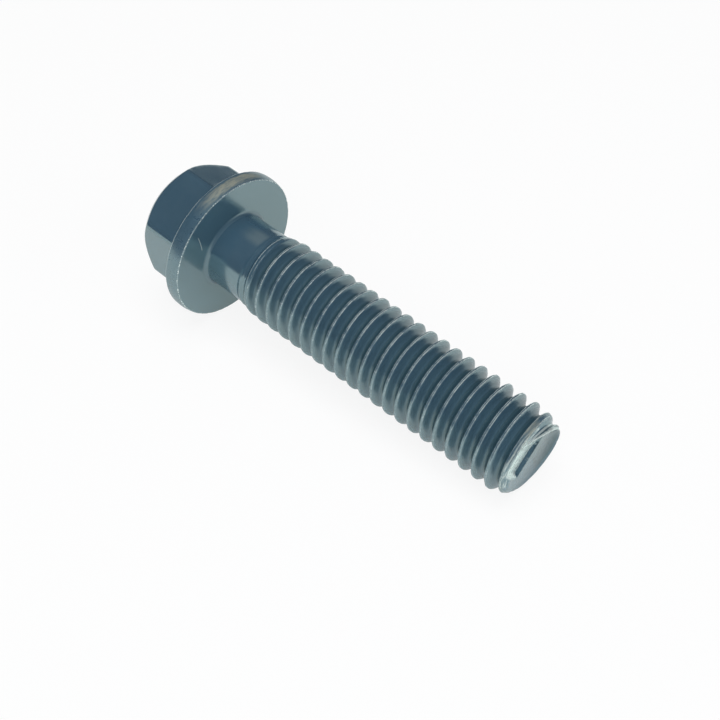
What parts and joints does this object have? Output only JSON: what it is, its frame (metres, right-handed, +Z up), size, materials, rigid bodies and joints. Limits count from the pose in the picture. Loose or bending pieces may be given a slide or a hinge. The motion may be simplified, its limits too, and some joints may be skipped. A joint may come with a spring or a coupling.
{
  "type": "flange bolt",
  "caption": "Small hexagon bolt with a round flange made in one with its head, a short plain neck, a coarse rolled thread and a dished point, black oxide finish.",
  "frame": {"origin": "on the surface that the bolt lies on, below the middle of its outline", "axes": "+X level along the bolt from head to point, +Z up; the bolt's own axis dips 5.5 degrees below +X, because the flange is wider than the thread"},
  "size_m": [0.031, 0.0106, 0.0106],
  "materials": {
    "black_oxide_steel": "satin"
  },
  "bodies": {
    "root": {"flange_bolt": "black_oxide_steel"}
  },
  "joints": []
}
